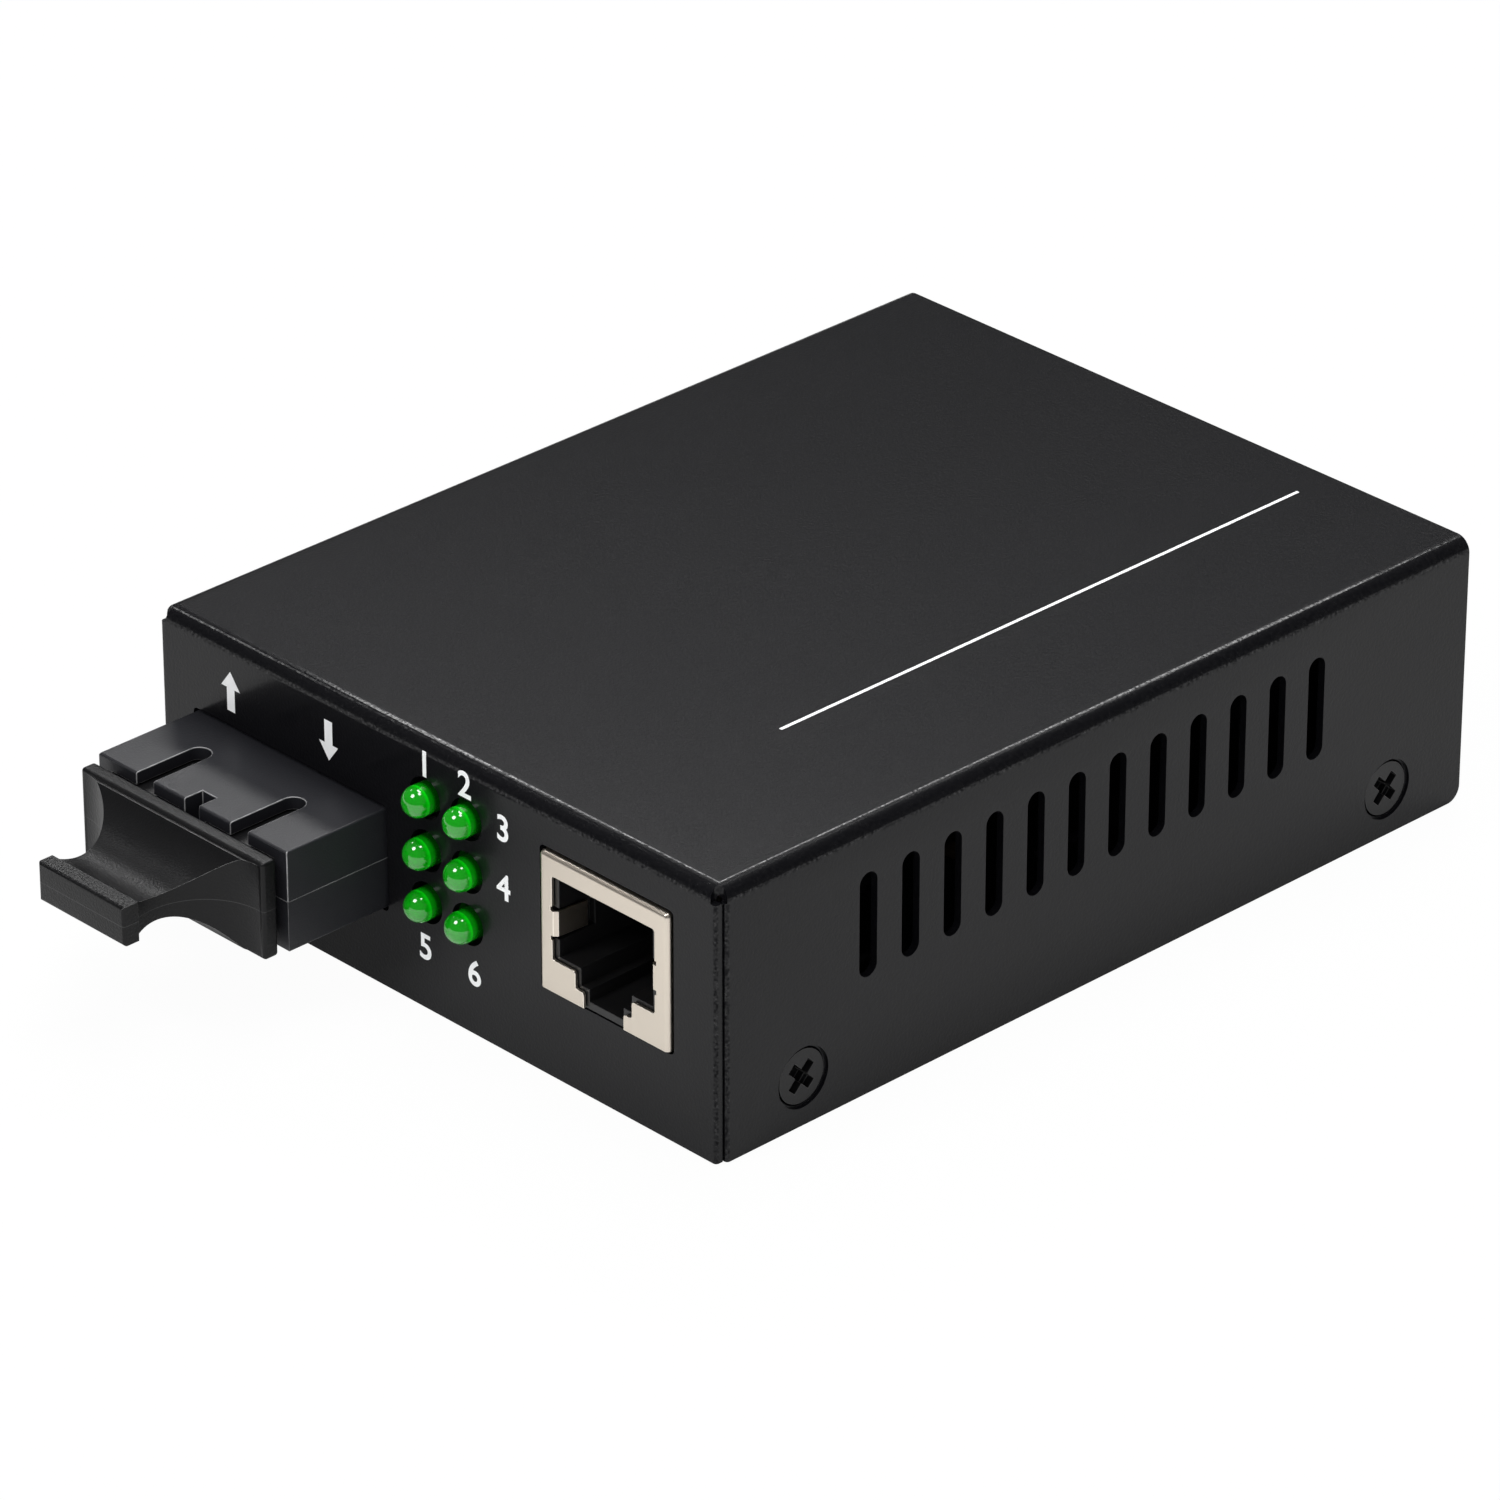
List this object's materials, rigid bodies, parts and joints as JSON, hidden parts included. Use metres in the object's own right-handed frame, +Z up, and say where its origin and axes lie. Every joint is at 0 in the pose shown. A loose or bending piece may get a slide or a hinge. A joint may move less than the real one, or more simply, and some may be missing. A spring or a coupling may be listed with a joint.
{
  "type": "fibre media converter",
  "caption": "Small black steel-cased copper-to-fibre media converter with a plugged duplex SC transceiver, six green lights, a shielded RJ45 socket, side vent slots and a rear power socket.",
  "frame": {"origin": "centre of the case's underside", "axes": "+Z up, -Y out of the front panel with the sockets, +X towards the network socket's side"},
  "size_m": [0.073, 0.1188, 0.027],
  "materials": {
    "black_paint": "satin",
    "dark_screw_steel": "satin",
    "plated_steel": "satin",
    "tinned_steel": "satin",
    "housing_plastic": "matte",
    "black_plastic": "matte",
    "plug_rubber": "matte",
    "green_lens": "gloss",
    "board_laminate": "satin",
    "package_epoxy": "matte",
    "contact_gold": "satin",
    "can_aluminium": "satin",
    "white_print": "satin",
    "part_ceramic": "matte"
  },
  "bodies": {
    "case": {"cover": "black_paint", "base": "black_paint", "case_screws": "dark_screw_steel", "circuit_board": "board_laminate", "board_standoffs": "plated_steel", "board_screws": "plated_steel", "transceiver_upper_housing": "housing_plastic", "transceiver_lower_housing": "housing_plastic", "transmit_sleeve": "plated_steel", "receive_sleeve": "plated_steel", "transmitter_can": "contact_gold", "receiver_can": "contact_gold", "transceiver_board": "board_laminate", "transceiver_chip": "package_epoxy", "transceiver_pins": "contact_gold", "light_left_upper": "green_lens", "light_left_middle": "green_lens", "light_left_lower": "green_lens", "light_right_upper": "green_lens", "light_right_middle": "green_lens", "light_right_lower": "green_lens", "light_holder": "black_plastic", "light_leads": "plated_steel", "network_jack_shield": "tinned_steel", "network_jack_insert": "black_plastic", "network_jack_contacts": "contact_gold", "power_jack_body": "black_plastic", "power_jack_pin": "plated_steel", "power_jack_spring": "plated_steel", "isolation_transformer": "package_epoxy", "converter_chip": "package_epoxy", "memory_chip": "package_epoxy", "voltage_regulator": "package_epoxy", "power_diode": "package_epoxy", "crystal": "plated_steel", "inductor": "package_epoxy", "bulk_capacitor_input": "can_aluminium", "bulk_capacitor_output": "can_aluminium", "chip_capacitors": "part_ceramic", "chip_resistors": "part_ceramic"},
    "plug": {"dust_plug": "plug_rubber"}
  },
  "joints": [
    {"name": "plug_slide", "type": "slide", "parent": "case", "child": "plug", "axis": [0, -1, 0], "range_m": [0, 0.012]}
  ]
}
